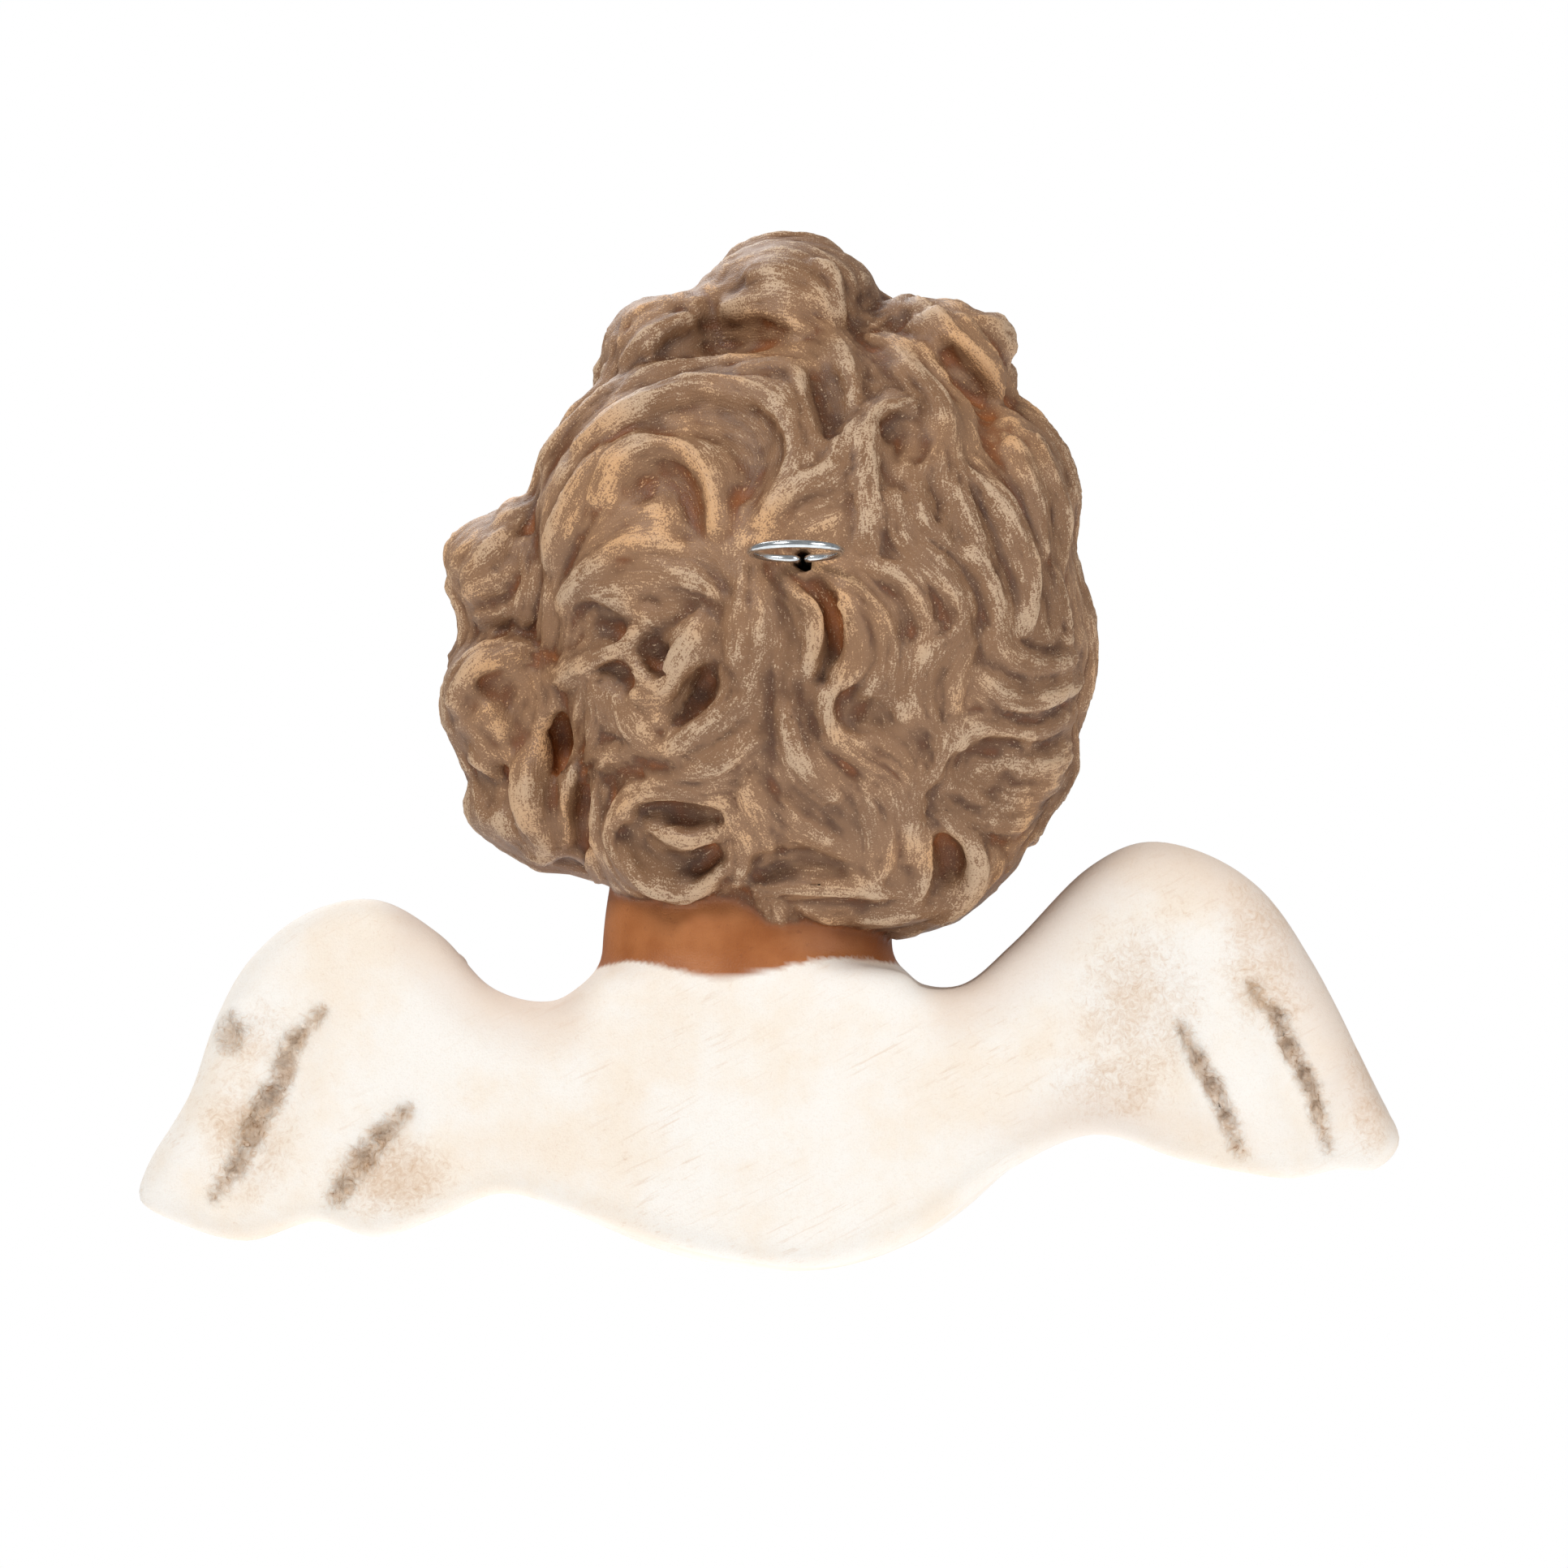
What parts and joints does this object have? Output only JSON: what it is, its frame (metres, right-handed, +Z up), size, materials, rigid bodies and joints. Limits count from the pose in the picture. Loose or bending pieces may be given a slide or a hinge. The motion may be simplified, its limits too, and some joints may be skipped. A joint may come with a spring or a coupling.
{
  "type": "angel wall figure",
  "caption": "Cherub head with curly hair above a pair of spread wings, cast in terracotta, painted, and hung by a wire ring at the back of the head.",
  "frame": {"origin": "middle of the hanging ring", "axes": "+Z up, +Y towards the wall that the figure hangs on, +X towards the angel's left, along the wings"},
  "size_m": [0.2794, 0.1382, 0.2298],
  "materials": {
    "painted_terracotta": "matt paint, brown on the hair and cream white on the wings, over bare orange clay",
    "steel_wire": "bright drawn wire"
  },
  "bodies": {
    "root": {"figure": "painted_terracotta", "hanging_ring": "steel_wire"}
  },
  "joints": []
}
